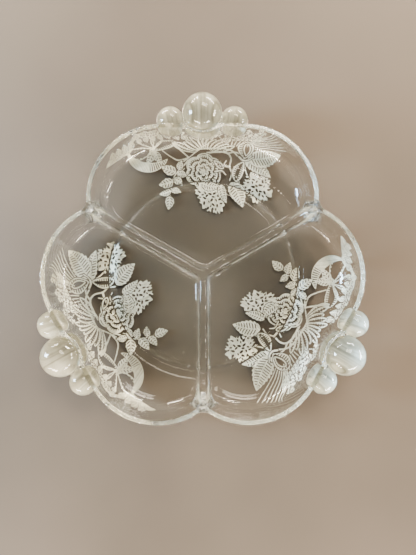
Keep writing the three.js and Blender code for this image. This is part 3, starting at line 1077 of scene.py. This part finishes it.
FLOOR_HALF = 1.6
FLOOR_LINES = 9
FLOOR_BELOW = -0.0002


def build_floor(material):
    line = np.linspace(-FLOOR_HALF, FLOOR_HALF, FLOOR_LINES)
    x, y = np.meshgrid(line, line, indexing="ij")
    corner = np.arange(FLOOR_LINES**2).reshape(FLOOR_LINES, FLOOR_LINES)
    ring = [corner[:-1, :-1], corner[1:, :-1], corner[1:, 1:], corner[:-1, 1:]]
    quads = np.stack(ring, -1).reshape(-1, 4)
    mesh = bpy.data.meshes.new("floor")
    mesh.from_pydata([(a, b, FLOOR_BELOW) for a, b in zip(x.ravel(), y.ravel())], [], quads.tolist())
    mesh.materials.append(material)
    floor = bpy.data.objects.new("floor", mesh)
    bpy.context.scene.collection.objects.link(floor)


LIGHT_AIM = (0, 0, 0.02)
STRIP_BEARINGS = (0, 60, 120, 240, 300)
STRIP_OUT, STRIP_Z = 0.88, 0.24


def area_light(name, place, size, power, colour):
    """A soft lamp aimed at the dish; its size is its width and its height."""
    lamp = bpy.data.lights.new(name, "AREA")
    lamp.shape = "RECTANGLE"
    lamp.size, lamp.size_y = size
    lamp.energy, lamp.color = power, colour
    thing = bpy.data.objects.new(name, lamp)
    thing.location = place
    thing.rotation_euler = (Vector(LIGHT_AIM) - Vector(place)).to_track_quat("-Z", "Y").to_euler()
    bpy.context.scene.collection.objects.link(thing)


def build_lights():
    """A cool window, a warm ceiling lamp, and low strips all round that light the rounded edges."""
    area_light("window", (-0.82, 0.05, 0.32), (0.20, 0.28), 10, (0.55, 0.76, 1.0))
    area_light("ceiling", (0.20, 0.50, 0.85), (0.45, 0.30), 4.2, (1.0, 0.90, 0.78))
    for bearing in STRIP_BEARINGS:
        angle = math.radians(bearing)
        place = (STRIP_OUT * math.cos(angle), STRIP_OUT * math.sin(angle), STRIP_Z)
        area_light(f"strip_{bearing}", place, (0.50, 0.08), 6.5, (1.0, 0.90, 0.79))


def build_world():
    """A dim room, darker towards the floor."""
    world = bpy.data.worlds.new("studio")
    bpy.context.scene.world = world
    world.use_nodes = True
    nodes, links = world.node_tree.nodes, world.node_tree.links
    direction = nodes.new("ShaderNodeTexCoord")
    apart = nodes.new("ShaderNodeSeparateXYZ")
    ramp = nodes.new("ShaderNodeValToRGB")
    ramp.color_ramp.elements[0].color = (0.07, 0.067, 0.063, 1)
    ramp.color_ramp.elements[1].color = (0.30, 0.29, 0.28, 1)
    links.new(direction.outputs["Generated"], apart.inputs[0])
    links.new(apart.outputs[2], ramp.inputs[0])
    links.new(ramp.outputs[0], nodes["Background"].inputs["Color"])
    nodes["Background"].inputs["Strength"].default_value = 0.6


CAMERA_PLACE = (0.0024, AXIS_Y / 1000 - 0.0112, 0.3124)
CAMERA_TURN = (1.8, -0.2, -0.22)
CAMERA_LENS = 27.05
CAMERA_SENSOR = 36


def build_camera():
    """Over the dish, as close as a phone is held, from a little in front of it."""
    data = bpy.data.cameras.new("camera")
    data.lens, data.sensor_width = CAMERA_LENS, CAMERA_SENSOR
    data.clip_start = 0.01
    camera = bpy.data.objects.new("camera", data)
    camera.location = CAMERA_PLACE
    camera.rotation_euler = [math.radians(angle) for angle in CAMERA_TURN]
    bpy.context.scene.collection.objects.link(camera)
    bpy.context.scene.camera = camera


def set_render():
    """The view's contrast, and enough bounces for light to pass through the balls and walls."""
    scene = bpy.context.scene
    scene.view_settings.view_transform = "AgX"
    scene.view_settings.look = "AgX - High Contrast"
    scene.cycles.caustics_reflective = False
    scene.cycles.caustics_refractive = False
    scene.cycles.max_bounces = 24
    scene.cycles.transmission_bounces = 20
    scene.cycles.glossy_bounces = 12
    scene.cycles.transparent_max_bounces = 24
    scene.cycles.sample_clamp_indirect = 6


build_glass(glass_material())
build_silver([silver_inside_material(), silver_outside_material()])
build_floor(floor_material())
build_lights()
build_world()
build_camera()
set_render()
